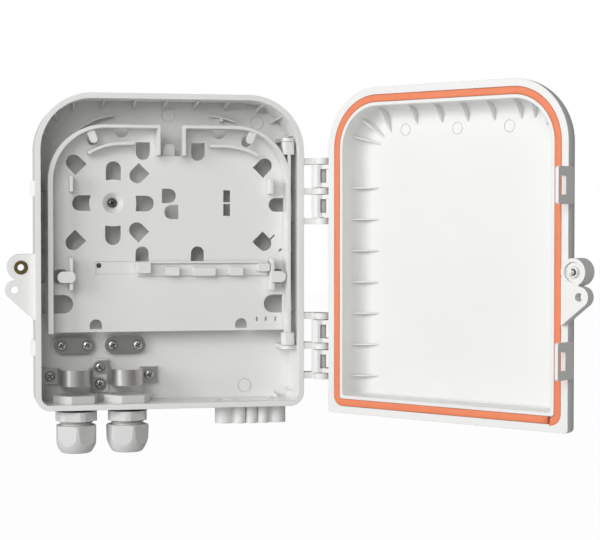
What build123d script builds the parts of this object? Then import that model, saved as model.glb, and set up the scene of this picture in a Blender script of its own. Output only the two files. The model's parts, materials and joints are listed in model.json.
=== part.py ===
# Fibre distribution box: a wall box with a hinged lid, a swing-out splice
# tray, two cable glands, cable clamps and a row of drop-cable ports.
#
# Frame: millimetres, +Z up, +X to the hinge side, +Y into the wall.
# The origin is the centre of the base's back face, so the wall is y = 0.
# Depth d is counted from the base's rim plane towards the wall.
# The lid stands open, as it is at rest. It is drawn in its closed place on
# planes that are turned about the hinge axis by the opening angle.
import os
from math import cos, radians, sin, sqrt
from build123d import *

os.makedirs("parts", exist_ok=True)

# Base tub
BASE_W = 210.0
BASE_H = 245.0
BASE_DEPTH = 42.0
WALL = 4.2
FLOOR_T = 3.0
TOP_R = 44.0
BOTTOM_R = 11.0
RIM_Y = -BASE_DEPTH
FLOOR_D = BASE_DEPTH - FLOOR_T
IN_X = BASE_W / 2 - WALL
IN_Z = BASE_H / 2 - WALL
RIB_T = 1.2
RIB_PITCH = 24.5
FIT = 0.05
WALL_HOLE_R = 2.6
WALL_HOLE_X = BASE_W / 2 - 47.0
WALL_HOLE_Z = (-BASE_H / 2 + 82.5, BASE_H / 2 - 67.5)

# Lid
OVERHANG = 3.5
LID_W = BASE_W + 2 * OVERHANG
LID_H = BASE_H + 2 * OVERHANG
LID_DEPTH = 26.0
LID_SKIN = 2.5
LID_TOP_R = TOP_R + 2.5
LID_SOFT = 24.5
LID_LAND = 14.0
LID_GAP = 0.8
LID_OPEN = 127.8
LID_EDGE = LID_W / 2

# Gasket
GASKET_IN = 5.6
GASKET_W = 5.8
GROOVE_D = 3.0
GASKET_PROUD = 0.5

# Lid hinge
HINGE_X = BASE_W / 2 + 13.6
HINGE_Y = RIM_Y - 5.4
HINGE_Z = (BASE_H / 2 - 75.2, -BASE_H / 2 + 47.7)
ARM_PITCH = 23.6
ARM_T = 5.0
KNUCKLE_R = 6.0
KNUCKLE_GAP = 0.4
KNUCKLE_L = ARM_PITCH - ARM_T - 2 * KNUCKLE_GAP
CHEEK_T = 3.5
TAIL_R = 8.4
TAIL_W = 13.0
TAIL_T = 1.4
TAIL_TURN = 51.8
PIN_R = 1.5
PIN_L = 2 * ARM_PITCH + ARM_T

# Latches
LATCH_Z = (BASE_H / 2 - 73.9, -BASE_H / 2 + 48.3)
LATCH_H = 26.4
LATCH_T = 2.6
LATCH_REACH = 18.0
LATCH_ROOT = 2.5
WINDOW_H = 13.4
WINDOW_D = (8.0, 15.8)
WEDGE_H = 12.0
WEDGE_OUT = 3.3
WEDGE_D = (8.0, 12.8, 13.6, 14.2)
LATCH_IN = LID_EDGE + 0.4

# Lock and padlock eye
LOCK_X = -BASE_W / 2 - 10.7
LOCK_Z = -12.0
EYE_X = -BASE_W / 2 - 15.5
EYE_Z = LOCK_Z - 17.4
EYE_R = 7.4
EYE_HOLE_R = 3.0
BOSS_R = 10.3
LUG_D = 6.5
BARREL_R = 9.8
BARREL_REACH = 5.7
BARREL_BACK = 7.0
PILOT_L = 5.0
LOCK_SCREW_R = 2.4
INSERT_R = 5.3
INSERT_BORE_R = 2.6
INSERT_L = 10.0

# Splice tray
TRAY_X0 = -BASE_W / 2 + 10.0
TRAY_X1 = BASE_W / 2 - 9.4
TRAY_Z0 = -BASE_H / 2 + 59.1
TRAY_Z1 = BASE_H / 2 - 24.0
TRAY_R = 44.0
TRAY_RIM_D = 6.0
TRAY_FLOOR_D = 22.0
TRAY_T = 2.0
TRAY_WALL = 2.4
TRAY_LEFT_WALL = 3.9
PIVOT_X = TRAY_X1 - 1.6
PIVOT_D = 10.5
PIVOT_BLOCK = 10.0
PIVOT_ROUND = 3.5
PIVOT_Z = (TRAY_Z1 - 17.2, TRAY_Z0 - 6.4)
STUB_R = 2.0
HUB_X = -43.5
HUB_Z = 37.9
HUB_R = 8.2
HUB_CLEAR_R = 18.4
HUB_SCREW_R = 1.5
NOTCH_X = (-7.8, 10.1)
NOTCH_Z = TRAY_Z1 - 23.4
COMB_X = (-25.0, 81.6)
COMB_Z = (-19.6, -8.0)

# Cable glands
GLAND_X = (-BASE_W / 2 + 32.0, -BASE_W / 2 + 72.0)
GLAND_D = 19.5
GLAND_Y = RIM_Y + GLAND_D
THREAD_R = 12.0
GLAND_BORE_R = 9.0
CABLE_R = 6.0
WASHER_T = 2.0
FLANGE_T = 7.5
NECK_L = 3.5
NUT_L = 21.5
NUT_AF = 30.0
LOCKNUT_AF = 33.0
LOCKNUT_T = 6.4
BOTTOM_Z = -BASE_H / 2
FLANGE_Z = BOTTOM_Z - WASHER_T
NECK_Z = FLANGE_Z - FLANGE_T
NUT_Z = NECK_Z - NECK_L
NUT_END = NUT_Z - NUT_L

# Cable clamps on the floor
PAD_T = 3.0
PAD_D = FLOOR_D - PAD_T
PLATE_Z = -BASE_H / 2 + 47.8
PLATE_L = 32.0
PLATE_W = 13.4
PLATE_T = 2.0
PLATE_PITCH = 20.0
SADDLE_Z = -BASE_H / 2 + 23.9
SADDLE_W = 12.7
SADDLE_T = 1.2
SADDLE_R = 12.6
SADDLE_LEG = 4.0
FOOT_OUT = 19.2
FOOT_IN = 20.0
FOOT_SHIFT = 6.7
SCREW_R = 1.9
SCREW_HEAD_R = 3.8
SCREW_END_D = FLOOR_D + 1.5

# Drop-cable ports
PORT_Z = -BASE_H / 2 - 14.1
PORT_D = 19.0
PORT_X = (BASE_W / 2 - 49.1, BASE_W / 2 - 39.8, BASE_W / 2 - 30.5)
PORT_ROW = 9.2
PORT_R = 4.6
PORT_END_X = (BASE_W / 2 - 61.0, BASE_W / 2 - 18.6)
PORT_END_R = 7.3
PORT_BORE_R = 2.8
PORT_END_BORE_R = 4.0
PORT_STEP = 1.2
PORT_LEAD = 2.1
PORT_LEAD_WIDER = 0.6


def front(d):
    """Plane at depth d behind the base's rim; extrudes towards the viewer."""
    return Plane(origin=(0, RIM_Y + d, 0), x_dir=(1, 0, 0), z_dir=(0, -1, 0))


def level(z):
    """Horizontal plane at height z; extrudes upwards."""
    return Plane(origin=(0, 0, z))


def across(x):
    """Plane square to X with (y, z) sketch axes; extrudes to +X."""
    return Plane(origin=(x, 0, 0), x_dir=(0, 1, 0), z_dir=(1, 0, 0))


def radial(x, z, angle):
    """Plane through (x, z) with (radius, y) sketch axes."""
    a = radians(angle)
    return Plane(origin=(x, 0, z), x_dir=(cos(a), 0, sin(a)), z_dir=(-sin(a), 0, cos(a)))


LID_TURN = (
    Location((HINGE_X, HINGE_Y, 0))
    * Rotation(0, 0, LID_OPEN)
    * Location((-HINGE_X, -HINGE_Y, 0))
)


def turned(plane):
    """A plane of the closed lid, carried to the open lid."""
    return Plane(LID_TURN * plane.location)


def lid_at(d):
    """Lid plane at depth d from the lid's rim; extrudes into the lid."""
    return turned(front(-LID_GAP - d))


def outline(w, h, top_r, bottom_r):
    """Upright rectangle with large top and small bottom corners."""
    with BuildSketch(mode=Mode.PRIVATE) as shape:
        Rectangle(w, h)
        fillet(shape.vertices().group_by(Axis.Y)[-1], top_r)
        fillet(shape.vertices().group_by(Axis.Y)[0], bottom_r)
    return shape.sketch


def dee(w, h, angle):
    """Square hole with one round end that points along the angle."""
    with BuildSketch(mode=Mode.PRIVATE) as shape:
        with Locations((0, h / 2 - w / 2)):
            Circle(w / 2)
        with Locations((0, -w / 4)):
            Rectangle(w, h - w / 2)
        Rectangle(w, h, mode=Mode.INTERSECT)
    return shape.sketch.rotate(Axis.Z, angle - 90)


def gusset(plane, reach, height, d0):
    """Triangular rib in the corner between a side wall and the floor."""
    with BuildSketch(plane, mode=Mode.PRIVATE) as rib:
        with BuildLine():
            Polyline(
                (reach + 0.4, RIM_Y + d0),
                (reach + 0.4, RIM_Y + FLOOR_D + 0.4),
                (reach - height, RIM_Y + FLOOR_D + 0.4),
                (reach, RIM_Y + d0),
                close=True,
            )
        make_face()
    extrude(rib.sketch, amount=RIB_T / 2, both=True)


def side_gusset(z, side, height, d0):
    """Gusset on the left (side -1) or right (side 1) wall."""
    gusset(radial(0, z, 0 if side > 0 else 180), IN_X, height, d0)


def port_window(step):
    """Window in the bottom wall above the ports, step inside their tubes."""
    with BuildSketch(level(BOTTOM_Z - 0.5), mode=Mode.PRIVATE) as window:
        with Locations(*[(x, RIM_Y + PORT_D) for x in PORT_END_X]):
            Circle(PORT_END_R - step)
        with Locations(((PORT_END_X[0] + PORT_END_X[1]) / 2, RIM_Y + PORT_D)):
            Rectangle(PORT_END_X[1] - PORT_END_X[0], PORT_ROW)
        with Locations((PORT_X[1], RIM_Y + PORT_D)):
            Rectangle(
                PORT_X[2] - PORT_X[0] + 2 * (PORT_R - step), PORT_ROW + 2 * (PORT_R - step)
            )
    return window.sketch


TOP_Z = BASE_H / 2
CORNER_X = BASE_W / 2 - TOP_R
CORNER_Z = BASE_H / 2 - TOP_R

with BuildPart() as base_shell:
    # tub with a soft back edge
    with BuildSketch(front(BASE_DEPTH)):
        add(outline(BASE_W, BASE_H, TOP_R, BOTTOM_R))
    extrude(amount=BASE_DEPTH)
    fillet(base_shell.faces().sort_by(Axis.Y)[-1].edges(), 4.0)
    with BuildSketch(front(FLOOR_D)):
        add(outline(2 * IN_X, 2 * IN_Z, TOP_R - WALL, BOTTOM_R - WALL))
    extrude(amount=FLOOR_D, mode=Mode.SUBTRACT)
    # stiffening gussets round the upper walls
    for n in range(-2, 3):
        gusset(radial(-1.5 + n * RIB_PITCH, 0, 90), IN_Z, 6.0, 6.0)
    for side in (-1, 1):
        for n in range(5):
            side_gusset(TOP_Z - 74.0 - n * RIB_PITCH, side, 6.0, 12.0)
        for angle in (20, 45, 70):
            turn = angle if side > 0 else 180 - angle
            gusset(radial(side * CORNER_X, CORNER_Z, turn), TOP_R - WALL, 6.0, 6.0)
    side_gusset(-TOP_Z + 11.5, 1, 4.0, 12.0)
    gusset(radial(BASE_W / 2 - 17.0, 0, -90), IN_Z, 4.0, 12.0)
    # curved cable guides on the floor
    with BuildSketch(front(FLOOR_D + 0.4)):
        with BuildLine():
            ThreePointArc((-78.5, TOP_Z - 35.9), (-63.0, TOP_Z - 22.3), (-42.4, TOP_Z - 15.5))
        trace(line_width=1.4)
        with BuildLine():
            ThreePointArc((34.9, TOP_Z - 15.0), (45.5, TOP_Z - 16.3), (55.1, TOP_Z - 19.5))
        trace(line_width=1.4)
        with Locations((44.6, TOP_Z - 17.9)):
            Rectangle(2.2, 2.6)
    extrude(amount=7.0)
    # pads under the strain plates and the saddles
    with BuildSketch(front(FLOOR_D + 0.4)):
        for x in GLAND_X:
            with Locations((x - 0.8, PLATE_Z)):
                SlotOverall(PLATE_L + 2.0, PLATE_W + 1.0)
        with Locations((GLAND_X[0] - FOOT_OUT, SADDLE_Z), (GLAND_X[1] + FOOT_OUT, SADDLE_Z)):
            Rectangle(13.4, 13.4)
        with Locations(((GLAND_X[0] + GLAND_X[1]) / 2, SADDLE_Z)):
            Rectangle(13.4, 26.8)
    extrude(amount=PAD_T + 0.4)
    # post for the tray's hub screw
    with BuildSketch(front(FLOOR_D + 0.4)):
        with Locations((HUB_X, HUB_Z)):
            Circle(5.5)
    extrude(amount=FLOOR_D + 0.4 - 30.4)
    # two ears that carry the tray's pivots
    for z in (PIVOT_Z[0] + PIVOT_BLOCK / 2 + 0.3, PIVOT_Z[1] - PIVOT_BLOCK / 2 - 3.3):
        with BuildSketch(level(z)):
            with Locations((PIVOT_X, RIM_Y + PIVOT_D)):
                Circle(4.6)
            with Locations(((PIVOT_X + IN_X) / 2 - 2.1, RIM_Y + (PIVOT_D + FLOOR_D) / 2)):
                Rectangle(IN_X - PIVOT_X + 5.0, FLOOR_D - PIVOT_D + 0.8)
        extrude(amount=3.0)
    # arms of the lid hinge
    for zc in HINGE_Z:
        for n in (-1, 0, 1):
            with BuildSketch(level(zc + n * ARM_PITCH - ARM_T / 2)):
                with BuildLine():
                    Polyline(
                        (BASE_W / 2 - 0.4, RIM_Y + 0.5),
                        (HINGE_X - KNUCKLE_R, RIM_Y + 0.5),
                        (HINGE_X - KNUCKLE_R, HINGE_Y),
                        (HINGE_X + KNUCKLE_R, HINGE_Y),
                        (HINGE_X + KNUCKLE_R, RIM_Y + 2.0),
                        (HINGE_X + 1.5, RIM_Y + 7.5),
                        (BASE_W / 2 - 0.4, RIM_Y + 13.0),
                        close=True,
                    )
                make_face()
                with Locations((HINGE_X, HINGE_Y)):
                    Circle(KNUCKLE_R)
            extrude(amount=ARM_T)
    # latch wedges on the free side
    for zc in LATCH_Z:
        with BuildSketch(level(zc - WEDGE_H / 2)):
            with BuildLine():
                Polyline(
                    (-BASE_W / 2 + 0.4, RIM_Y + WEDGE_D[0]),
                    (-BASE_W / 2, RIM_Y + WEDGE_D[0]),
                    (-BASE_W / 2 - WEDGE_OUT, RIM_Y + WEDGE_D[1]),
                    (-BASE_W / 2 - WEDGE_OUT, RIM_Y + WEDGE_D[2]),
                    (-BASE_W / 2, RIM_Y + WEDGE_D[3]),
                    (-BASE_W / 2 + 0.4, RIM_Y + WEDGE_D[3]),
                    close=True,
                )
            make_face()
        extrude(amount=WEDGE_H)
    # window over the drop-cable ports
    extrude(port_window(PORT_STEP), amount=WALL + 1.0, mode=Mode.SUBTRACT)
    # bores: glands, hinge pins, tray pivots, screws, wall screws
    with BuildSketch(level(BOTTOM_Z - 0.5)):
        with Locations(*[(x, GLAND_Y) for x in GLAND_X]):
            Circle(THREAD_R + 0.3)
    extrude(amount=WALL + 1.0, mode=Mode.SUBTRACT)
    for zc in HINGE_Z:
        with BuildSketch(level(zc - PIN_L / 2 - 0.5)):
            with Locations((HINGE_X, HINGE_Y)):
                Circle(PIN_R)
        extrude(amount=PIN_L + 1.0, mode=Mode.SUBTRACT)
    with BuildSketch(level(PIVOT_Z[1] - PIVOT_BLOCK / 2 - 3.8)):
        with Locations((PIVOT_X, RIM_Y + PIVOT_D)):
            Circle(STUB_R + FIT)
    extrude(amount=PIVOT_Z[0] - PIVOT_Z[1] + PIVOT_BLOCK + 7.6, mode=Mode.SUBTRACT)
    with BuildSketch(front(FLOOR_D + 1.8)):
        for x in GLAND_X:
            with Locations((x - PLATE_PITCH / 2, PLATE_Z), (x + PLATE_PITCH / 2, PLATE_Z)):
                Circle(SCREW_R + FIT)
        with Locations(
            (GLAND_X[0] - FOOT_OUT, SADDLE_Z),
            (GLAND_X[0] + FOOT_IN, SADDLE_Z - FOOT_SHIFT),
            (GLAND_X[1] - FOOT_IN, SADDLE_Z + FOOT_SHIFT),
            (GLAND_X[1] + FOOT_OUT, SADDLE_Z),
        ):
            Circle(SCREW_R + FIT)
    extrude(amount=FLOOR_D + 1.8 - PAD_D + 0.4, mode=Mode.SUBTRACT)
    with BuildSketch(front(FLOOR_D + 1.0)):
        with Locations((HUB_X, HUB_Z)):
            Circle(HUB_SCREW_R + 0.9)
    extrude(amount=FLOOR_D + 1.0 - 29.0, mode=Mode.SUBTRACT)
    with BuildSketch(front(BASE_DEPTH + 1.0)):
        for z in WALL_HOLE_Z:
            with Locations((-WALL_HOLE_X, z), (WALL_HOLE_X, z)):
                Circle(WALL_HOLE_R)
    extrude(amount=FLOOR_T + 2.0, mode=Mode.SUBTRACT)
    # round moulding marks in the floor
    with BuildSketch(front(FLOOR_D + 0.4)):
        with Locations((2.7, TOP_Z - 14.4), (74.7, TOP_Z - 19.6), (64.4, -TOP_Z + 13.4)):
            Circle(5.6)
            Circle(5.0, mode=Mode.SUBTRACT)
    extrude(amount=1.0, mode=Mode.SUBTRACT)
base_shell.part.label = "base_shell"

with BuildPart() as lock_lug:
    # lock boss and padlock eye
    with BuildSketch(front(LUG_D + 13.5)):
        with Locations((LOCK_X, LOCK_Z)):
            Circle(BOSS_R)
        with Locations(((LOCK_X - BASE_W / 2) / 2, LOCK_Z)):
            Rectangle(-LOCK_X - BASE_W / 2, 2 * BOSS_R)
        with Locations((0.0, LOCK_Z)):
            Rectangle(BASE_W, 4 * BOSS_R, mode=Mode.SUBTRACT)
    extrude(amount=13.5)
    with BuildSketch(front(LUG_D + 6.0)):
        with BuildLine():
            Polyline(
                (-BASE_W / 2, LOCK_Z - 5.0),
                (LOCK_X, LOCK_Z - 5.0),
                (EYE_X - 2.0, EYE_Z + 6.0),
                (EYE_X - 5.2, EYE_Z - 5.2),
                (-BASE_W / 2, LOCK_Z - 41.4),
                close=True,
            )
        make_face()
        with Locations((EYE_X, EYE_Z)):
            Circle(EYE_R)
    extrude(amount=6.0)
    with BuildSketch(front(LUG_D + 20.0)):
        with Locations((EYE_X, EYE_Z)):
            Circle(EYE_HOLE_R)
        with Locations((LOCK_X, LOCK_Z)):
            Circle(INSERT_BORE_R + 0.4)
    extrude(amount=24.0, mode=Mode.SUBTRACT)
    with BuildSketch(front(LUG_D + INSERT_L)):
        with Locations((LOCK_X, LOCK_Z)):
            Circle(INSERT_R)
    extrude(amount=INSERT_L + 2.0, mode=Mode.SUBTRACT)
lock_lug.part.label = "lock_lug"

with BuildPart() as drop_port_block:
    # tubes in two rows under the bottom wall
    with BuildSketch(level(PORT_Z)):
        with Locations(*[(x, RIM_Y + PORT_D) for x in PORT_END_X]):
            Circle(PORT_END_R)
        with Locations(*[(x, RIM_Y + PORT_D) for x in PORT_X]):
            SlotCenterToCenter(PORT_ROW, 2 * PORT_R, rotation=90)
        with Locations(((PORT_END_X[0] + PORT_END_X[1]) / 2, RIM_Y + PORT_D)):
            Rectangle(PORT_END_X[1] - PORT_END_X[0], PORT_ROW)
    extrude(amount=BOTTOM_Z - PORT_Z)
    # one bore for each cable
    with BuildSketch(level(PORT_Z)):
        for side in (-1, 1):
            with Locations(*[(x, RIM_Y + PORT_D + side * PORT_ROW / 2) for x in PORT_X]):
                Circle(PORT_BORE_R)
        with Locations(*[(x, RIM_Y + PORT_D) for x in PORT_END_X]):
            Circle(PORT_END_BORE_R)
    extrude(amount=BOTTOM_Z - PORT_Z, mode=Mode.SUBTRACT)
    # wider lead-in at each bore's inner end
    with BuildSketch(level(BOTTOM_Z - PORT_LEAD)):
        for side in (-1, 1):
            with Locations(*[(x, RIM_Y + PORT_D + side * PORT_ROW / 2) for x in PORT_X]):
                Circle(PORT_BORE_R + PORT_LEAD_WIDER)
        with Locations(*[(x, RIM_Y + PORT_D) for x in PORT_END_X]):
            Circle(PORT_END_BORE_R + PORT_LEAD_WIDER)
    extrude(amount=PORT_LEAD, mode=Mode.SUBTRACT)
drop_port_block.part.label = "drop_port_block"


def lid_block(inset, depth, soft, bottom_soft):
    """Closed-lid block with large round edges at its top and both sides."""
    with BuildPart(mode=Mode.PRIVATE) as block:
        with BuildSketch(front(0)) as rim:
            Rectangle(LID_W - 2 * inset, LID_H - 2 * inset)
            fillet(rim.vertices().group_by(Axis.Y)[-1], LID_TOP_R - inset)
        extrude(amount=depth)
        edges = block.faces().sort_by(Axis.Y)[0].edges()
        low = min(edges, key=lambda e: e.center().Z)
        fillet([e for e in edges if not e.is_same(low)], soft)
        foot = block.faces().sort_by(Axis.Z)[0]
        fillet([e for e in foot.edges() if e.center().Y < RIM_Y - 0.05], bottom_soft)
    return block.part


def to_lid(shape, d=0.0):
    """Carry a shape drawn at the base's rim to the open lid, d deeper."""
    return shape.moved(LID_TURN * Location((0, -LID_GAP - d, 0)))


def ring(inset, width, bottom_r):
    """Band that follows the lid's outline."""
    with BuildSketch(mode=Mode.PRIVATE) as band:
        w, h, r = LID_W - 2 * inset, LID_H - 2 * inset, LID_TOP_R - inset
        add(outline(w, h, r, bottom_r))
        inner_r = max(bottom_r - width, 1.0)
        add(outline(w - 2 * width, h - 2 * width, r - width, inner_r), mode=Mode.SUBTRACT)
    return band.sketch


def knuckle_tail(inner_r):
    """Round tail of a hinge knuckle beyond its pin, from inner_r outwards."""
    with BuildSketch(mode=Mode.PRIVATE) as tail:
        Circle(TAIL_R)
        with Locations((TAIL_R / 2, 0)):
            Rectangle(TAIL_R, TAIL_W, mode=Mode.INTERSECT)
        if inner_r > 0:
            Circle(inner_r, mode=Mode.SUBTRACT)
    return tail.sketch.rotate(Axis.Z, TAIL_TURN).moved(Location((HINGE_X, HINGE_Y, 0)))


def lid_rib(x, z, angle, reach, start, end):
    """Crescent rib across the lid's inner curve, drawn as its chord."""
    a = radians(angle)
    plane = Plane(origin=(x, 0, z), x_dir=(cos(a), 0, sin(a)), z_dir=(-sin(a), 0, cos(a)))
    y0 = RIM_Y - LID_GAP
    with BuildSketch(turned(plane), mode=Mode.PRIVATE) as rib:
        with BuildLine():
            Polyline(
                (reach + 2.0, y0 - start[1]),
                (reach - start[0], y0 - start[1]),
                (reach - end, y0 - LID_INNER_D - 0.3),
                (reach - end + 6.0, y0 - LID_INNER_D - 1.0),
                (reach - 1.0, y0 - LID_INNER_D + 1.5),
                (reach + 2.0, y0 - LID_INNER_D + 8.5),
                close=True,
            )
        make_face()
    extrude(rib.sketch, amount=RIB_T / 2, both=True)


LID_IN_X = LID_EDGE - LID_LAND
LID_IN_Z = LID_H / 2 - LID_LAND
LID_INNER_D = LID_DEPTH - LID_SKIN
LID_IN_SOFT = 10.0
RIB_START = (0.3, 11.5)
TOP_RIB_END = 14.5
HINGE_RIB_END = 18.5
FREE_RIB_END = 12.0

with BuildPart() as lid_shell:
    add(to_lid(lid_block(0.0, LID_DEPTH, LID_SOFT, 2.5)))
    add(to_lid(lid_block(LID_LAND, LID_INNER_D, LID_IN_SOFT, 3.0)), mode=Mode.SUBTRACT)
    # groove for the gasket
    with BuildSketch(lid_at(0)):
        add(ring(GASKET_IN, GASKET_W, 8.0))
    extrude(amount=GROOVE_D, mode=Mode.SUBTRACT)
    # crescent ribs inside the soft edges
    for n in range(-2, 3):
        lid_rib(-7.4 + n * 23.7, 0, 90, LID_IN_Z, RIB_START, TOP_RIB_END)
    for side, end in ((-1, FREE_RIB_END), (1, HINGE_RIB_END)):
        for n in range(7):
            turn = 0 if side > 0 else 180
            lid_rib(0, TOP_Z - 72.9 - n * RIB_PITCH, turn, LID_IN_X, RIB_START, end)
        for angle in (18, 45, 78):
            turn = angle if side > 0 else 180 - angle
            corner = (side * (LID_EDGE - LID_TOP_R), LID_H / 2 - LID_TOP_R)
            lid_rib(*corner, turn, LID_TOP_R - LID_LAND, RIB_START, end + 1.5)
    # round moulding marks
    with BuildSketch(lid_at(LID_INNER_D - 0.3)):
        with Locations((51.0, TOP_Z - 28.5), (2.5, TOP_Z - 29.0), (-44.0, TOP_Z - 29.0)):
            Circle(4.7)
            Circle(4.2, mode=Mode.SUBTRACT)
    extrude(amount=0.7, mode=Mode.SUBTRACT)
    # hinge knuckles: two cheeks, a barrel and a thin back web each
    for zc in HINGE_Z:
        for n in (-0.5, 0.5):
            z0 = zc + n * ARM_PITCH - KNUCKLE_L / 2
            for z in (z0, z0 + KNUCKLE_L - CHEEK_T):
                with BuildSketch(turned(level(z))):
                    with BuildLine():
                        Polyline(
                            (LID_EDGE - 1.0, HINGE_Y + 4.2),
                            (HINGE_X - 3.0, HINGE_Y + 5.2),
                            (HINGE_X, HINGE_Y),
                            (HINGE_X - 3.0, HINGE_Y - 5.2),
                            (LID_EDGE - 1.0, HINGE_Y - 8.0),
                            close=True,
                        )
                    make_face()
                    with Locations((HINGE_X, HINGE_Y)):
                        Circle(KNUCKLE_R)
                    add(knuckle_tail(0.0))
                extrude(amount=CHEEK_T)
            with BuildSketch(turned(level(z0))):
                with Locations((HINGE_X, HINGE_Y)):
                    Circle(PIN_R + 1.7)
            extrude(amount=KNUCKLE_L)
            with BuildSketch(turned(level(z0))):
                add(knuckle_tail(TAIL_R - TAIL_T))
            extrude(amount=KNUCKLE_L)
            with BuildSketch(turned(level(z0 - 0.5))):
                with Locations((HINGE_X, HINGE_Y)):
                    Circle(PIN_R + FIT)
            extrude(amount=KNUCKLE_L + 1.0, mode=Mode.SUBTRACT)
    # latch loops on the free edge
    for zc in LATCH_Z:
        with BuildSketch(turned(across(-LATCH_IN - LATCH_T))):
            with Locations((RIM_Y - LID_GAP + (LATCH_REACH - LATCH_ROOT) / 2, zc)):
                RectangleRounded(LATCH_REACH + LATCH_ROOT, LATCH_H, 2.0)
        extrude(amount=LATCH_T)
        with BuildSketch(turned(across(-LATCH_IN - 0.5))):
            with Locations((RIM_Y - LID_GAP - LATCH_ROOT / 2 - 0.1, zc)):
                Rectangle(LATCH_ROOT - 0.4, LATCH_H - 4.0)
        extrude(amount=4.0)
        with BuildSketch(turned(across(-LATCH_IN - LATCH_T - 1.0))):
            with Locations((RIM_Y - LID_GAP + (WINDOW_D[0] + WINDOW_D[1]) / 2, zc)):
                Rectangle(WINDOW_D[1] - WINDOW_D[0], WINDOW_H)
        extrude(amount=LATCH_T + 2.0, mode=Mode.SUBTRACT)
    # lock barrel with its web, and the padlock eye
    with BuildSketch(lid_at(-BARREL_REACH)):
        with Locations((LOCK_X, LOCK_Z)):
            Circle(BARREL_R)
    extrude(amount=BARREL_REACH + BARREL_BACK)
    with BuildSketch(lid_at(0.4)):
        with Locations(((LOCK_X - LID_EDGE + 3.0) / 2, LOCK_Z)):
            Rectangle(-LOCK_X - LID_EDGE + 3.0, 2 * BARREL_R - 3.0)
    extrude(amount=BARREL_BACK - 1.4)
    with BuildSketch(lid_at(-BARREL_REACH)):
        with BuildLine():
            Polyline(
                (-LID_EDGE + 2.4, LOCK_Z - 4.0),
                (LOCK_X, LOCK_Z - 5.0),
                (EYE_X - 2.0, EYE_Z + 6.0),
                (EYE_X - 5.2, EYE_Z - 5.2),
                (-LID_EDGE + 2.4, LOCK_Z - 38.0),
                close=True,
            )
        make_face()
        with Locations((EYE_X, EYE_Z)):
            Circle(EYE_R)
    extrude(amount=BARREL_REACH + 2.0)
    with BuildSketch(lid_at(-BARREL_REACH - 1.0)):
        with Locations((EYE_X, EYE_Z)):
            Circle(EYE_HOLE_R)
        with Locations((LOCK_X, LOCK_Z)):
            Circle(LOCK_SCREW_R + FIT)
    extrude(amount=BARREL_REACH + BARREL_BACK + 2.0, mode=Mode.SUBTRACT)
    with BuildSketch(lid_at(-BARREL_REACH - 1.0)):
        with Locations((LOCK_X, LOCK_Z)):
            Circle(7.2)
            Circle(4.0, mode=Mode.SUBTRACT)
    extrude(amount=3.0, mode=Mode.SUBTRACT)
    with BuildSketch(lid_at(BARREL_BACK - 4.5)):
        with Locations((LOCK_X, LOCK_Z)):
            Circle(5.2)
    extrude(amount=6.0, mode=Mode.SUBTRACT)
lid_shell.part.label = "lid_shell"

with BuildPart() as lid_gasket:
    with BuildSketch(lid_at(-GASKET_PROUD)):
        add(ring(GASKET_IN + 0.05, GASKET_W - 0.1, 7.95))
        # butt joint near the lower free corner
        with Locations((-LID_EDGE + 14.9, -LID_H / 2 + 8.5)):
            Rectangle(0.8, 8.0, mode=Mode.SUBTRACT)
    extrude(amount=GROOVE_D + GASKET_PROUD)
lid_gasket.part.label = "lid_gasket"

with BuildPart() as hinge_pins:
    for zc in HINGE_Z:
        with BuildSketch(level(zc - PIN_L / 2)):
            with Locations((HINGE_X, HINGE_Y)):
                Circle(PIN_R)
        extrude(amount=PIN_L)
hinge_pins.part.label = "hinge_pins"

with BuildPart() as lock_insert:
    with BuildSketch(front(LUG_D + INSERT_L)):
        with Locations((LOCK_X, LOCK_Z)):
            Circle(INSERT_R)
            Circle(INSERT_BORE_R, mode=Mode.SUBTRACT)
    extrude(amount=INSERT_L + 0.3)
lock_insert.part.label = "lock_insert"

with BuildPart() as lock_screw:
    # pilot tip, shank, head with a slot
    with BuildSketch(lid_at(-BARREL_REACH - PILOT_L)):
        with Locations((LOCK_X, LOCK_Z)):
            Circle(LOCK_SCREW_R - 0.5)
    extrude(amount=PILOT_L + 1.0)
    with BuildSketch(lid_at(-BARREL_REACH + 0.8)):
        with Locations((LOCK_X, LOCK_Z)):
            Circle(LOCK_SCREW_R)
    extrude(amount=BARREL_REACH + BARREL_BACK - 4.5)
    with BuildSketch(lid_at(BARREL_BACK - 4.4)):
        with Locations((LOCK_X, LOCK_Z)):
            Circle(4.6)
    extrude(amount=3.4)
    with BuildSketch(lid_at(BARREL_BACK - 2.2)):
        with Locations((LOCK_X, LOCK_Z)):
            Rectangle(10.0, 1.2)
    extrude(amount=2.0, mode=Mode.SUBTRACT)
lock_screw.part.label = "lock_screw"

TRAY_CX = (TRAY_X0 + TRAY_X1) / 2
TRAY_CZ = (TRAY_Z0 + TRAY_Z1) / 2
TRAY_W = TRAY_X1 - TRAY_X0
TRAY_H = TRAY_Z1 - TRAY_Z0
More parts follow.
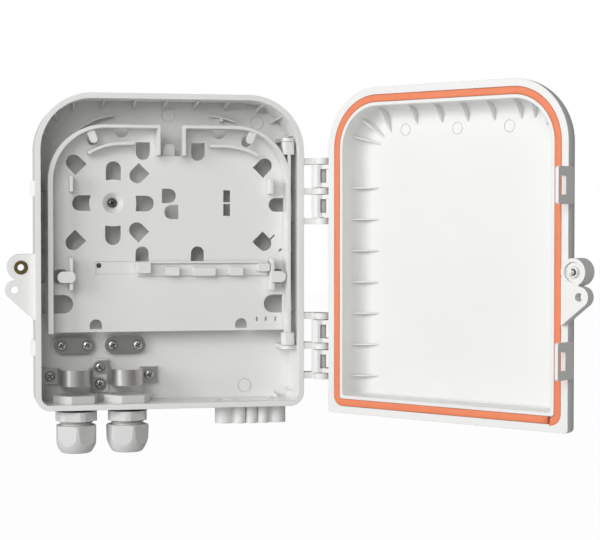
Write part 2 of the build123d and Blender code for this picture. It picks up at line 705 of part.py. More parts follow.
# openings in the tray floor: centre x and z, width, length, round end's angle
DEES = (
    (-43.0, 63.1, 11.8, 15.0, 90),
    (-43.5, 12.5, 12.2, 15.0, 270),
    (-68.2, 37.8, 12.2, 14.2, 180),
    (-18.3, 37.5, 12.2, 14.2, 0),
    (-23.7, 60.2, 12.0, 14.0, 225),
    (-24.1, 16.0, 12.0, 14.0, 135),
    (-73.3, 68.9, 12.0, 14.0, 135),
    (-73.8, 7.7, 12.0, 14.0, 225),
    (77.1, 67.2, 11.6, 13.6, 45),
    (76.7, 6.5, 11.6, 13.6, 315),
    (0.8, 43.6, 11.2, 11.2, 0),
    (2.7, 30.9, 11.2, 11.2, 180),
    (-19.8, 78.7, 10.9, 13.8, 270),
    (23.8, 78.5, 10.9, 13.8, 270),
    (-36.7, 93.0, 10.2, 7.4, 270),
    (41.0, 92.4, 10.2, 7.0, 270),
    (87.0, 36.7, 10.9, 12.0, 180),
    (-20.6, -2.2, 10.4, 11.8, 90),
    (23.4, -2.3, 10.4, 11.8, 90),
    (-82.4, -41.2, 14.4, 15.0, 0),
    (84.4, -42.3, 14.4, 15.0, 180),
    (-57.1, -57.2, 9.6, 7.6, 90),
    (58.5, -57.6, 9.6, 7.6, 90),
)
# plain rectangular openings: centre x and z, width, height, turn
SLOTS = (
    (47.0, 43.4, 5.6, 9.4, 0),
    (47.0, 32.6, 5.6, 9.4, 0),
    (83.4, 10.4, 1.2, 6.0, -45),
    (90.3, 0.6, 1.6, 3.0, -45),
    (71.3, -54.5, 1.4, 3.2, 0),
    (78.5, -54.5, 1.4, 3.2, 0),
    (86.3, -54.5, 1.4, 3.2, 0),
)

with BuildPart() as splice_tray:
    # floor
    with BuildSketch(front(TRAY_FLOOR_D + TRAY_T)):
        with Locations((TRAY_CX, TRAY_CZ)):
            add(outline(TRAY_W, TRAY_H, TRAY_R, 0.5))
    extrude(amount=TRAY_T)
    # rim on the left, the top and the right; the lower edge is open
    with BuildSketch(front(TRAY_FLOOR_D + TRAY_T)):
        with Locations((TRAY_CX, TRAY_CZ)):
            add(outline(TRAY_W, TRAY_H, TRAY_R, 0.5))
            with Locations(((TRAY_LEFT_WALL - TRAY_WALL) / 2, -5.0)):
                add(
                    outline(
                        TRAY_W - TRAY_WALL - TRAY_LEFT_WALL,
                        TRAY_H - 2 * TRAY_WALL + 10.0,
                        TRAY_R - TRAY_WALL,
                        0.5,
                    ),
                    mode=Mode.SUBTRACT,
                )
    extrude(amount=TRAY_FLOOR_D + TRAY_T - TRAY_RIM_D)
    # pivot spine, blocks and stubs
    with BuildSketch(front(TRAY_FLOOR_D + TRAY_T)):
        with Locations((TRAY_X1 - TRAY_WALL / 2, (PIVOT_Z[0] + TRAY_Z0) / 2)):
            Rectangle(TRAY_WALL, PIVOT_Z[0] - TRAY_Z0)
        with Locations((TRAY_X1 - TRAY_WALL / 2, (PIVOT_Z[1] + TRAY_Z0) / 2)):
            Rectangle(TRAY_WALL, TRAY_Z0 - PIVOT_Z[1])
    extrude(amount=TRAY_FLOOR_D + TRAY_T - TRAY_RIM_D)
    for z in PIVOT_Z:
        with BuildSketch(level(z - PIVOT_BLOCK / 2)):
            with Locations((PIVOT_X, RIM_Y + PIVOT_D)):
                RectangleRounded(PIVOT_BLOCK, PIVOT_BLOCK, PIVOT_ROUND)
        extrude(amount=PIVOT_BLOCK)
    with BuildSketch(level(PIVOT_Z[0])):
        with Locations((PIVOT_X, RIM_Y + PIVOT_D)):
            Circle(STUB_R)
    extrude(amount=PIVOT_BLOCK / 2 + 2.8)
    with BuildSketch(level(PIVOT_Z[1] - PIVOT_BLOCK / 2 - 2.8)):
        with Locations((PIVOT_X, RIM_Y + PIVOT_D)):
            Circle(STUB_R)
    extrude(amount=PIVOT_BLOCK / 2 + 2.8)
    # notch in the top edge with its walls and tongue
    with BuildSketch(front(TRAY_FLOOR_D + TRAY_T)):
        with Locations(((NOTCH_X[0] + NOTCH_X[1]) / 2, (NOTCH_Z + TRAY_Z1) / 2)):
            Rectangle(NOTCH_X[1] - NOTCH_X[0] + 2 * TRAY_T, TRAY_Z1 - NOTCH_Z)
    extrude(amount=TRAY_FLOOR_D + TRAY_T - TRAY_RIM_D)
    with BuildSketch(front(TRAY_FLOOR_D + TRAY_T + 1.0)):
        with Locations(((NOTCH_X[0] + NOTCH_X[1]) / 2, (NOTCH_Z + TRAY_Z1) / 2 + 1.0)):
            Rectangle(NOTCH_X[1] - NOTCH_X[0], TRAY_Z1 - NOTCH_Z + 2.0)
    extrude(amount=TRAY_FLOOR_D + TRAY_T + 2.0 - TRAY_RIM_D, mode=Mode.SUBTRACT)
    with BuildSketch(front(TRAY_FLOOR_D + TRAY_T + 1.0)):
        with Locations((0.9, NOTCH_Z + 2.2)):
            SlotOverall(15.0, 9.0, rotation=90)
        with Locations((0.9, NOTCH_Z - 4.0)):
            Rectangle(12.0, 8.0, mode=Mode.SUBTRACT)
    extrude(amount=1.6)
    with BuildSketch(front(TRAY_FLOOR_D + TRAY_T + 1.0)):
        with Locations((0.9, NOTCH_Z - 1.0)):
            Rectangle(9.0, 2.4)
    extrude(amount=1.6)
    # raised guide walls for the fibre loops
    with BuildSketch(front(TRAY_FLOOR_D + 0.4)):
        with BuildLine():
            ThreePointArc((-63.6, 76.2), (-52.0, 81.8), (-40.0, 84.0))
            Line((-40.0, 84.0), (-28.0, 84.3))
        trace(line_width=2.2)
        with BuildLine():
            Line((32.5, 82.8), (44.0, 82.8))
            ThreePointArc((44.0, 82.8), (58.5, 80.6), (70.7, 75.6))
        trace(line_width=2.2)
        with Locations((-76.6, 52.5)):
            Rectangle(2.4, 12.0)
        with Locations((-76.9, -17.3)):
            Rectangle(2.6, 25.0)
        with Locations((82.0, -18.4)):
            Rectangle(2.6, 25.4)
        with Locations((81.2, 51.3)):
            Rectangle(2.6, 12.0)
    extrude(amount=12.4)
    # flat hooks over the fibre runs
    with BuildSketch(front(TRAY_RIM_D + 3.6)):
        with Locations((-80.8, -19.8)):
            SlotOverall(14.0, 9.0)
        with Locations((86.2, -20.4)):
            SlotOverall(12.0, 9.0)
        with Locations((-60.8, 90.4)):
            SlotOverall(13.0, 6.0, rotation=-68)
        with Locations((64.6, 90.8)):
            SlotOverall(13.0, 6.0, rotation=-112)
    extrude(amount=1.6)
    with BuildSketch(front(TRAY_FLOOR_D + 0.4)):
        with Locations((-76.9, -19.8), (82.0, -20.4)):
            Rectangle(2.6, 9.0)
    extrude(amount=TRAY_FLOOR_D + 0.4 - TRAY_RIM_D - 2.0)
    # holes in the floor
    for x, z, w, h, angle in DEES:
        with BuildSketch(front(TRAY_FLOOR_D + TRAY_T + 0.5)):
            with Locations((x, z)):
                add(dee(w, h, angle))
            with Locations((HUB_X, HUB_Z)):
                Circle(HUB_CLEAR_R, mode=Mode.SUBTRACT)
        extrude(amount=TRAY_T + 1.0, mode=Mode.SUBTRACT)
    for x, z, w, h, angle in SLOTS:
        with BuildSketch(front(TRAY_FLOOR_D + TRAY_T + 0.5)):
            with Locations(Location((x, z, 0), (0, 0, angle))):
                Rectangle(w, h)
        extrude(amount=TRAY_T + 1.0, mode=Mode.SUBTRACT)
    # openings below the flat hooks
    with BuildSketch(front(TRAY_FLOOR_D + TRAY_T + 0.5)):
        with Locations((-84.3, -19.8)):
            RectangleRounded(11.8, 11.7, 4.5)
        with Locations((87.9, -20.4)):
            RectangleRounded(8.8, 11.7, 3.5)
        with Locations((-60.0, 88.4)):
            SlotOverall(11.0, 8.2, rotation=-68)
        with Locations((63.4, 87.9)):
            SlotOverall(11.0, 8.2, rotation=-112)
    extrude(amount=TRAY_T + 1.0, mode=Mode.SUBTRACT)
    # shallow seat beside the comb, with its pin hole
    with BuildSketch(front(TRAY_FLOOR_D + 0.5)):
        with Locations((-41.1, -13.0)):
            Rectangle(32.0, 10.0)
    extrude(amount=1.0, mode=Mode.SUBTRACT)
    with BuildSketch(front(TRAY_FLOOR_D + TRAY_T + 0.5)):
        with Locations((-54.6, -11.2)):
            Circle(2.0)
    extrude(amount=TRAY_T + 1.0, mode=Mode.SUBTRACT)
    # conical hub with a hole for the fixing screw
    y = RIM_Y + TRAY_FLOOR_D
    with BuildSketch(level(HUB_Z)):
        with BuildLine():
            Polyline(
                (HUB_X, y + 0.5),
                (HUB_X + HUB_R + 1.2, y + 0.5),
                (HUB_X + HUB_R + 1.2, y + TRAY_T),
                (HUB_X + 5.8, y + 5.0),
                (HUB_X + 5.8, y + 8.2),
                (HUB_X, y + 8.2),
                close=True,
            )
        make_face()
    revolve(axis=Axis((HUB_X, 0, HUB_Z), (0, 1, 0)))
    with BuildSketch(level(HUB_Z)):
        with BuildLine():
            Polyline(
                (HUB_X, y - 1.0),
                (HUB_X + HUB_R, y - 1.0),
                (HUB_X + HUB_R, y),
                (HUB_X + 4.2, y + 5.0),
                (HUB_X + 4.2, y + 6.6),
                (HUB_X + HUB_SCREW_R + FIT, y + 6.6),
                (HUB_X + HUB_SCREW_R + FIT, y + 9.0),
                (HUB_X, y + 9.0),
                close=True,
            )
        make_face()
    revolve(axis=Axis((HUB_X, 0, HUB_Z), (0, 1, 0)), mode=Mode.SUBTRACT)
splice_tray.part.label = "splice_tray"

with BuildPart() as splice_comb:
    z0, z1 = COMB_Z
    x0, x1 = COMB_X
    # posts: centre x and z, width, height of face, reach
    posts = (
        (-20.3, -12.9, 10.8, 8.4, 10.0),
        (2.5, -15.9, 11.2, 6.8, 8.0),
        (28.0, -16.2, 17.8, 6.6, 8.0),
        (53.5, -16.1, 11.0, 6.8, 8.0),
        (75.2, -12.9, 9.4, 6.4, 10.0),
    )
    with BuildSketch(front(TRAY_FLOOR_D)):
        with Locations(((x0 + x1) / 2 - 0.8, (z0 + z1) / 2)):
            Rectangle(x1 - x0 - 2.2, z1 - z0)
    extrude(amount=1.4)
    with BuildSketch(front(TRAY_FLOOR_D)):
        with Locations(((x0 + x1) / 2 - 0.8, z1 - 0.8)):
            Rectangle(x1 - x0 - 2.2, 1.6)
    extrude(amount=4.0)
    for x, z, w, h, reach in posts:
        with BuildSketch(front(TRAY_FLOOR_D)):
            with Locations((x, z)):
                RectangleRounded(w, h, 1.2)
        extrude(amount=reach)
splice_comb.part.label = "splice_comb"


def pan_screw(x, z, seat_d, shank_r, length, head_r, head_h):
    """Pan-head cross screw driven towards the wall."""
    with BuildSketch(front(seat_d + length), mode=Mode.PRIVATE) as shank:
        with Locations((x, z)):
            Circle(shank_r)
    extrude(shank.sketch, amount=length + 0.4)
    with BuildSketch(level(z), mode=Mode.PRIVATE) as head:
        y = RIM_Y + seat_d
        with BuildLine():
            Polyline(
                (x, y),
                (x + head_r, y),
                (x + head_r, y - head_h * 0.45),
                (x + head_r * 0.8, y - head_h * 0.85),
                (x + head_r * 0.55, y - head_h),
                (x, y - head_h),
                close=True,
            )
        make_face()
    revolve(head.sketch, axis=Axis((x, 0, z), (0, 1, 0)))
    with BuildSketch(front(seat_d - head_h * 0.45), mode=Mode.PRIVATE) as cross:
        with Locations((x, z)):
            Rectangle(head_r * 1.15, head_r * 0.26, rotation=30)
            Rectangle(head_r * 0.26, head_r * 1.15, rotation=30)
    extrude(cross.sketch, amount=head_h, mode=Mode.SUBTRACT)


with BuildPart() as hub_screw:
    pan_screw(HUB_X, HUB_Z, TRAY_FLOOR_D + 6.6, HUB_SCREW_R, 9.0, 3.4, 2.2)
hub_screw.part.label = "hub_screw"

PLATE_TOP_D = PAD_D - PLATE_T
SADDLE_TOP_D = PAD_D - SADDLE_T

with BuildPart() as strength_plates:
    for x in GLAND_X:
        with BuildSketch(front(PAD_D)):
            with Locations((x, PLATE_Z)):
                SlotOverall(PLATE_L, PLATE_W)
            with Locations((x - PLATE_PITCH / 2, PLATE_Z), (x + PLATE_PITCH / 2, PLATE_Z)):
                Circle(SCREW_R + 0.3, mode=Mode.SUBTRACT)
        extrude(amount=PLATE_T)
strength_plates.part.label = "strength_plates"

with BuildPart() as plate_screws:
    for x in GLAND_X:
        for side in (-1, 1):
            pan_screw(
                x + side * PLATE_PITCH / 2,
                PLATE_Z,
                PLATE_TOP_D,
                SCREW_R,
                SCREW_END_D - PLATE_TOP_D,
                SCREW_HEAD_R,
                2.6,
            )
plate_screws.part.label = "plate_screws"

SADDLES = ((GLAND_X[0], 1, "cable_saddle_left"), (GLAND_X[1], -1, "cable_saddle_right"))
for x, inner, name in SADDLES:
    y0 = RIM_Y + PAD_D
    with BuildPart() as saddle:
        # arch with legs
        with BuildSketch(level(SADDLE_Z - SADDLE_W / 2)):
            for r, mode in ((SADDLE_R, Mode.ADD), (SADDLE_R - SADDLE_T, Mode.SUBTRACT)):
                with Locations((x, y0 - SADDLE_LEG - SADDLE_R)):
                    Circle(r, mode=mode)
                with Locations((x, y0 - (SADDLE_LEG + SADDLE_R) / 2)):
                    Rectangle(2 * r, SADDLE_LEG + SADDLE_R, mode=mode)
        extrude(amount=SADDLE_W)
        # feet
        with BuildSketch(front(PAD_D)):
            with Locations((x - inner * (SADDLE_R + FOOT_OUT + 6.3) / 2, SADDLE_Z)):
                Rectangle(FOOT_OUT + 6.3 - SADDLE_R + 1.0, SADDLE_W)
            with Locations((x + inner * (SADDLE_R + 0.4), SADDLE_Z)):
                Rectangle(3.2, SADDLE_W)
            with Locations((x + inner * FOOT_IN, SADDLE_Z - inner * FOOT_SHIFT)):
                Circle(5.2)
            with Locations((x + inner * (FOOT_IN + SADDLE_R) / 2, SADDLE_Z - inner * FOOT_SHIFT)):
                Rectangle(FOOT_IN - SADDLE_R + 0.4, 10.4)
            with Locations((x - inner * FOOT_OUT, SADDLE_Z)):
                Circle(SCREW_R + 0.3, mode=Mode.SUBTRACT)
            with Locations((x + inner * FOOT_IN, SADDLE_Z - inner * FOOT_SHIFT)):
                Circle(SCREW_R + 0.3, mode=Mode.SUBTRACT)
        extrude(amount=SADDLE_T)
        with BuildSketch(level(SADDLE_Z - SADDLE_W)):
            with Locations((x, y0 - SADDLE_LEG / 2 - 3.0)):
                Rectangle(2 * (SADDLE_R - SADDLE_T), SADDLE_LEG + 6.2)
        extrude(amount=2 * SADDLE_W, mode=Mode.SUBTRACT)
    saddle.part.label = name
    export_step(saddle.part, f"parts/{name}.step")

with BuildPart() as saddle_screws:
    for x, inner in ((GLAND_X[0], 1), (GLAND_X[1], -1)):
        for px, pz in ((x - inner * FOOT_OUT, 0), (x + inner * FOOT_IN, -inner * FOOT_SHIFT)):
            pan_screw(
                px,
                SADDLE_Z + pz,
                SADDLE_TOP_D,
                SCREW_R,
                SCREW_END_D - SADDLE_TOP_D,
                SCREW_HEAD_R,
                2.6,
            )
saddle_screws.part.label = "saddle_screws"

# glands: side, body flange turn, dome nut turn, locknut turn
GLANDS = (("left", 14.0, 0.0, -16.0), ("right", -4.0, 12.0, -20.0))
for (side, flange_turn, nut_turn, locknut_turn), x in zip(GLANDS, GLAND_X):
    axis = Axis((x, GLAND_Y, 0), (0, 0, 1))
    with BuildPart() as body:
        with BuildSketch(level(NECK_Z)):
            with Locations((x, GLAND_Y)):
                RegularPolygon(
                    NUT_AF / 2, 6, major_radius=False, rotation=flange_turn + 30
                )
                Circle(16.2, mode=Mode.INTERSECT)
        extrude(amount=FLANGE_T)
        with BuildSketch(level(FLANGE_Z - 1.0)):
            with Locations((x, GLAND_Y)):
                Circle(THREAD_R)
        extrude(amount=WASHER_T + WALL + LOCKNUT_T - 0.4)
        with BuildSketch(level(NUT_Z - 12.0)):
            with Locations((x, GLAND_Y)):
                Circle(THREAD_R - 0.1)
        extrude(amount=12.0 + NECK_L + 0.5)
        with BuildSketch(level(NUT_END - 1.0)):
            with Locations((x, GLAND_Y)):
                Circle(GLAND_BORE_R)
        extrude(amount=60.0, mode=Mode.SUBTRACT)
    body.part.label = f"gland_body_{side}"
    export_step(body.part, f"parts/gland_body_{side}.step")
    with BuildPart() as washer:
        with BuildSketch(level(FLANGE_Z)):
            with Locations((x, GLAND_Y)):
                Circle(15.6)
                Circle(THREAD_R + 0.1, mode=Mode.SUBTRACT)
        extrude(amount=WASHER_T)
    washer.part.label = f"gland_washer_{side}"
    export_step(washer.part, f"parts/gland_washer_{side}.step")
    with BuildPart() as locknut:
        with BuildSketch(level(BOTTOM_Z + WALL)):
            with Locations((x, GLAND_Y)):
                RegularPolygon(
                    LOCKNUT_AF / 2, 6, major_radius=False, rotation=locknut_turn + 30
                )
                Circle(18.7, mode=Mode.INTERSECT)
                Circle(THREAD_R + 0.04, mode=Mode.SUBTRACT)
        extrude(amount=LOCKNUT_T)
    locknut.part.label = f"gland_locknut_{side}"
    export_step(locknut.part, f"parts/gland_locknut_{side}.step")
    with BuildPart() as dome:
        with BuildSketch(level(NUT_END)):
            with Locations((x, GLAND_Y)):
                RegularPolygon(
                    NUT_AF / 2, 6, major_radius=False, rotation=nut_turn + 30
                )
        extrude(amount=NUT_L)
        with BuildSketch(Plane(origin=(x, GLAND_Y, 0), x_dir=(1, 0, 0), z_dir=(0, -1, 0))) as turn:
            with BuildLine():
                Polyline(
                    (0, NUT_END), (10.5, NUT_END), (11.8, NUT_END + 0.6), (13.6, NUT_END + 3.2)
                )
                ThreePointArc(
                    (13.6, NUT_END + 3.2), (15.2, NUT_END + 6.6), (16.4, NUT_END + 10.8)
                )
                Polyline(
                    (16.4, NUT_END + 10.8), (16.9, NUT_Z - 1.0), (15.9, NUT_Z), (0, NUT_Z), (0, NUT_END)
                )
            make_face()
        revolve(axis=axis, mode=Mode.INTERSECT)
        with BuildSketch(level(NUT_END + 6.5)):
            with Locations((x, GLAND_Y)):
                Circle(THREAD_R - 0.02)
        extrude(amount=NUT_L, mode=Mode.SUBTRACT)
        with BuildSketch(level(NUT_END - 1.0)):
            with Locations((x, GLAND_Y)):
                Circle(7.6)
        extrude(amount=10.0, mode=Mode.SUBTRACT)
    dome.part.label = f"gland_nut_{side}"
    export_step(dome.part, f"parts/gland_nut_{side}.step")
    with BuildPart() as seal:
        with BuildSketch(level(NUT_END + 7.0)):
            with Locations((x, GLAND_Y)):
                Circle(GLAND_BORE_R - 0.02)
                Circle(CABLE_R, mode=Mode.SUBTRACT)
        extrude(amount=14.0)
    seal.part.label = f"gland_seal_{side}"
    export_step(seal.part, f"parts/gland_seal_{side}.step")

export_step(base_shell.part, "parts/base_shell.step")
export_step(lock_lug.part, "parts/lock_lug.step")
export_step(drop_port_block.part, "parts/drop_port_block.step")
export_step(lid_shell.part, "parts/lid_shell.step")
export_step(lid_gasket.part, "parts/lid_gasket.step")
export_step(hinge_pins.part, "parts/hinge_pins.step")
export_step(lock_insert.part, "parts/lock_insert.step")
export_step(lock_screw.part, "parts/lock_screw.step")
export_step(splice_tray.part, "parts/splice_tray.step")
export_step(splice_comb.part, "parts/splice_comb.step")
export_step(hub_screw.part, "parts/hub_screw.step")
export_step(strength_plates.part, "parts/strength_plates.step")
export_step(plate_screws.part, "parts/plate_screws.step")
export_step(saddle_screws.part, "parts/saddle_screws.step")
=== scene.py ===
# %% [markdown]
# # Fibre distribution box
#
# A white plastic wall box stands open. Its base holds a splice tray, two cable
# glands with steel saddles, and a row of drop-cable ports. Its lid carries an
# orange gasket and rows of crescent ribs. The solids come from the CAD frame;
# these cells give them their finishes, add the soft and threaded pieces, and
# set up the light and the camera.

# %% Load the frame
import json
import math
import bmesh
import bpy
from mathutils import Matrix, Vector


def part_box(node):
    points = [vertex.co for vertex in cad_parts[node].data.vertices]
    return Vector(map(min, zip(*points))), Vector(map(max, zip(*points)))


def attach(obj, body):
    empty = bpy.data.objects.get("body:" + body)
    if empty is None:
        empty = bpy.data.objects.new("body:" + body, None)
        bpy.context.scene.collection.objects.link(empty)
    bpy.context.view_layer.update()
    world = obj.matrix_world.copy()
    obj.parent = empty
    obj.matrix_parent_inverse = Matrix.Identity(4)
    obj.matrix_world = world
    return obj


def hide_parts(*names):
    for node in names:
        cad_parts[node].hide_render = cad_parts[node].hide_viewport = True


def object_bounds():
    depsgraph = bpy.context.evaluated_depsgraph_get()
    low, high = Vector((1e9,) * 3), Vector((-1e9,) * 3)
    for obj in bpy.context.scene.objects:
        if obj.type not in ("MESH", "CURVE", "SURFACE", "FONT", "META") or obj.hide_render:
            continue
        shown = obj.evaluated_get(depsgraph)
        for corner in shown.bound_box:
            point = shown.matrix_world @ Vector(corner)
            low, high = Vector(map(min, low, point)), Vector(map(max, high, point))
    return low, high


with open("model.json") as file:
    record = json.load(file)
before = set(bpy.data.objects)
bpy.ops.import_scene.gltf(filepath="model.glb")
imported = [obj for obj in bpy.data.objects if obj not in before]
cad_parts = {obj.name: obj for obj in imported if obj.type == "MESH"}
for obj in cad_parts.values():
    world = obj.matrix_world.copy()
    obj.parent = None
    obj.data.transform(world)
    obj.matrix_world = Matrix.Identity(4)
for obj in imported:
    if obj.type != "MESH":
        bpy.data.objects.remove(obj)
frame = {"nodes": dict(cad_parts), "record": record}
CAD_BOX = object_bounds()
MM = 0.001
SIDES = ("left", "right")

# %% [markdown]
# Shader maths reads best as plain arithmetic. `Field` wraps one output socket
# of a node tree, so `1 - mask * 0.3` adds the Math nodes by itself. Every other
# node comes from `Nodes.node`, which takes the node's type, its settings and
# its inputs. The same class serves the materials and the world.

# %% Fields and node trees


class Field:
    """One number, colour or vector that varies over a surface."""

    def __init__(self, nodes, socket):
        self.nodes = nodes
        self.socket = socket

    def __add__(self, other):
        return self.nodes.maths("ADD", self, other)

    def __radd__(self, other):
        return self.nodes.maths("ADD", other, self)

    def __sub__(self, other):
        return self.nodes.maths("SUBTRACT", self, other)

    def __rsub__(self, other):
        return self.nodes.maths("SUBTRACT", other, self)

    def __mul__(self, other):
        return self.nodes.maths("MULTIPLY", self, other)

    def __rmul__(self, other):
        return self.nodes.maths("MULTIPLY", other, self)

    def sway(self, amount):
        """A noise lies round one half: this is its swing round nought, scaled."""
        return (self - 0.5) * amount


class Nodes:
    """A node tree under construction."""

    def __init__(self, tree):
        self.tree = tree

    def node(self, kind, settings=None, values=None, output=0):
        made = self.tree.nodes.new(kind)
        for name, value in (settings or {}).items():
            if name == "stops":
                for stop, (at, shade) in zip(made.color_ramp.elements, value):
                    stop.position = at
                    stop.color = (shade, shade, shade, 1.0)
            else:
                setattr(made, name, value)
        for name, value in (values or {}).items():
            if isinstance(value, Field):
                self.tree.links.new(value.socket, made.inputs[name])
            else:
                made.inputs[name].default_value = value
        return Field(self, made.outputs[output])

    def maths(self, operation, first, second):
        return self.node("ShaderNodeMath", {"operation": operation}, {0: first, 1: second})


def rgb(red, green, blue):
    return (red, green, blue, 1.0)


# %% [markdown]
# A finish is one material with its Principled shader. Its noise is laid out in
# object coordinates, in metres, so a grain of 900 per metre is about a
# millimetre. `relief` rounds the sharp CAD edges in the shading with a Bevel
# node and adds a fine Bump, which leaves the solids' exact shape alone.

# %% Finishes


class Finish(Nodes):
    """A material with a Principled shader, for one kind of surface."""

    def __init__(self, name, **constants):
        self.material = bpy.data.materials.new(name)
        self.material.use_nodes = True
        super().__init__(self.material.node_tree)
        self.shader = self.tree.nodes["Principled BSDF"]
        for socket, value in constants.items():
            self.shader.inputs[socket].default_value = value
        self.place = self.node("ShaderNodeTexCoord", output="Object")

    def feed(self, socket, field):
        self.tree.links.new(field.socket, self.shader.inputs[socket])

    def noise(self, scale, detail, rough, squeeze=(1.0, 1.0, 1.0)):
        place = self.node("ShaderNodeMapping", {}, {"Vector": self.place, "Scale": squeeze})
        values = {"Vector": place, "Scale": scale, "Detail": detail, "Roughness": rough}
        return self.node("ShaderNodeTexNoise", {}, values)

    def ramp(self, field, *stops):
        return self.node("ShaderNodeValToRGB", {"stops": stops}, {0: field})

    def blend(self, factor, first, second):
        return self.node("ShaderNodeMix", {"data_type": "RGBA"}, {0: factor, 6: first, 7: second}, 2)

    def open_air(self, reach):
        """1 on open surfaces, falling towards 0 in crevices narrower than reach."""
        return self.node("ShaderNodeAmbientOcclusion", {"samples": 8}, {"Distance": reach}, "AO")

    def relief(self, edge, height, depth, strength):
        rounded = self.node("ShaderNodeBevel", {"samples": 6}, {"Radius": edge})
        bump = {"Height": height, "Normal": rounded, "Distance": depth, "Strength": strength}
        self.feed("Normal", self.node("ShaderNodeBump", {}, bump))


def dress(finish, *names):
    """Gives CAD nodes their finish in the material slots they already have."""
    for name in names:
        for slot in frame["nodes"][name].material_slots:
            slot.material = finish.material
    print(finish.material.name, "on", ", ".join(names))


# %% [markdown]
# The base, lid and tray are moulded in a warm white ABS, and the glands in a
# greyer nylon. A moulding is never quite even: its colour drifts a little and
# its gloss varies where the melt met the steel. Its corners get painted shade.
# The drift comes from large noise, the gloss from that and a finer one, and the
# painted shade from an Ambient Occlusion node, which knows how open each spot is.

# %% Moulded plastic


def moulded(name, light, dark, crevice_shade, rough, edge):
    finish = Finish(name, IOR=1.49)
    drift = finish.noise(scale=14.0, detail=4.0, rough=0.55)
    grain = finish.noise(scale=900.0, detail=2.0, rough=0.6)
    clean = finish.blend(drift, dark, light)
    # Painted shade: the Ambient Occlusion mask darkens crevices narrower than 2.5 mm towards the
    # third, darker colour.
    finish.feed("Base Color", finish.blend(finish.open_air(2.5 * MM), crevice_shade, clean))
    finish.feed("Roughness", rough + drift.sway(0.12) + grain.sway(0.05))
    finish.relief(edge, grain, depth=0.04 * MM, strength=0.35)
    return finish


# The darkest colour of each white is the painted shade of its crevices.
shell_white = moulded(
    "shell_white",
    light=rgb(0.87, 0.87, 0.855),
    dark=rgb(0.82, 0.82, 0.805),
    crevice_shade=rgb(0.78, 0.775, 0.76),
    rough=0.44,
    edge=0.6 * MM,
)
tray_white = moulded(
    "tray_white",
    light=rgb(0.84, 0.84, 0.825),
    dark=rgb(0.79, 0.79, 0.775),
    crevice_shade=rgb(0.62, 0.615, 0.60),
    rough=0.48,
    edge=0.7 * MM,
)
nylon_grey = moulded(
    "nylon_grey",
    light=rgb(0.72, 0.725, 0.715),
    dark=rgb(0.66, 0.665, 0.655),
    crevice_shade=rgb(0.48, 0.48, 0.47),
    rough=0.42,
    edge=0.7 * MM,
)
dress(shell_white, "base_shell", "lock_lug", "drop_port_block", "lid_shell")
dress(tray_white, "splice_tray", "splice_comb")
for side in SIDES:
    dress(nylon_grey, f"gland_body_{side}", f"gland_nut_{side}", f"gland_locknut_{side}")

# %% [markdown]
# Steel in this box is stamped strip and small screws. Strip shows the lines of
# its rolling, so its roughness comes from noise that is squeezed along one
# axis, which draws it out into lines across that axis. The screws are zinc
# plated, and their cross recesses look dark, so painted shade from an Ambient
# Occlusion node, as in the plastic's corners, darkens them inside. A ramp gives its mask a harder
# edge.

# %% Steel and brass


def metal(name, light, dark, recess_shade, rough, edge, recess, squeeze=(1.0, 1.0, 1.0)):
    finish = Finish(name, Metallic=0.85)
    lines = finish.noise(scale=260.0, detail=4.0, rough=0.6, squeeze=squeeze)
    cloud = finish.noise(scale=60.0, detail=3.0, rough=0.5)
    # Painted shade: this ramped Ambient Occlusion mask darkens recesses towards a near-black colour.
    unshaded = finish.ramp(finish.open_air(recess), (0.35, 0.0), (0.85, 1.0))
    clean = finish.blend(cloud, dark, light)
    finish.feed("Base Color", finish.blend(unshaded, recess_shade, clean))
    finish.feed("Roughness", rough + lines.sway(0.22) + (1.0 - unshaded) * 0.2)
    finish.relief(edge, lines, depth=0.02 * MM, strength=0.3)
    return finish


# The darkest colour of each metal is the painted shade of its recesses.
steel_bright = metal(
    "steel_bright",
    light=rgb(0.56, 0.56, 0.545),
    dark=rgb(0.44, 0.44, 0.43),
    recess_shade=rgb(0.10, 0.10, 0.095),
    rough=0.34,
    edge=0.3 * MM,
    recess=1.0 * MM,
    squeeze=(1.0, 1.0, 14.0),
)
steel_plate = metal(
    "steel_plate",
    light=rgb(0.40, 0.40, 0.39),
    dark=rgb(0.31, 0.31, 0.30),
    recess_shade=rgb(0.08, 0.08, 0.08),
    rough=0.40,
    edge=0.4 * MM,
    recess=1.0 * MM,
    squeeze=(14.0, 1.0, 1.0),
)
screw_zinc = metal(
    "screw_zinc",
    light=rgb(0.78, 0.77, 0.74),
    dark=rgb(0.50, 0.49, 0.47),
    recess_shade=rgb(0.02, 0.02, 0.02),
    rough=0.25,
    edge=0.4 * MM,
    recess=2.2 * MM,
)
screw_dark = metal(
    "screw_dark",
    light=rgb(0.25, 0.25, 0.24),
    dark=rgb(0.12, 0.12, 0.12),
    recess_shade=rgb(0.01, 0.01, 0.01),
    rough=0.35,
    edge=0.4 * MM,
    recess=2.2 * MM,
)
brass_insert = metal(
    "brass_insert",
    light=rgb(0.34, 0.27, 0.11),
    dark=rgb(0.20, 0.15, 0.055),
    recess_shade=rgb(0.07, 0.05, 0.015),
    rough=0.22,
    edge=0.3 * MM,
    recess=1.0 * MM,
    squeeze=(1.0, 6.0, 1.0),
)
dress(steel_bright, "cable_saddle_left", "cable_saddle_right", "hinge_pins")
dress(steel_plate, "strength_plates")
dress(screw_zinc, "plate_screws", "saddle_screws", "lock_screw")
dress(screw_dark, "hub_screw")
dress(brass_insert, "lock_insert")

# %% [markdown]
# The washers and the glands' inner seals are black rubber, and the lid's gasket
# is orange silicone. Both have a dull, slightly cloudy skin with a very fine
# grain, so two sizes of noise do for both, and only the colours differ.

# %% Rubber and silicone


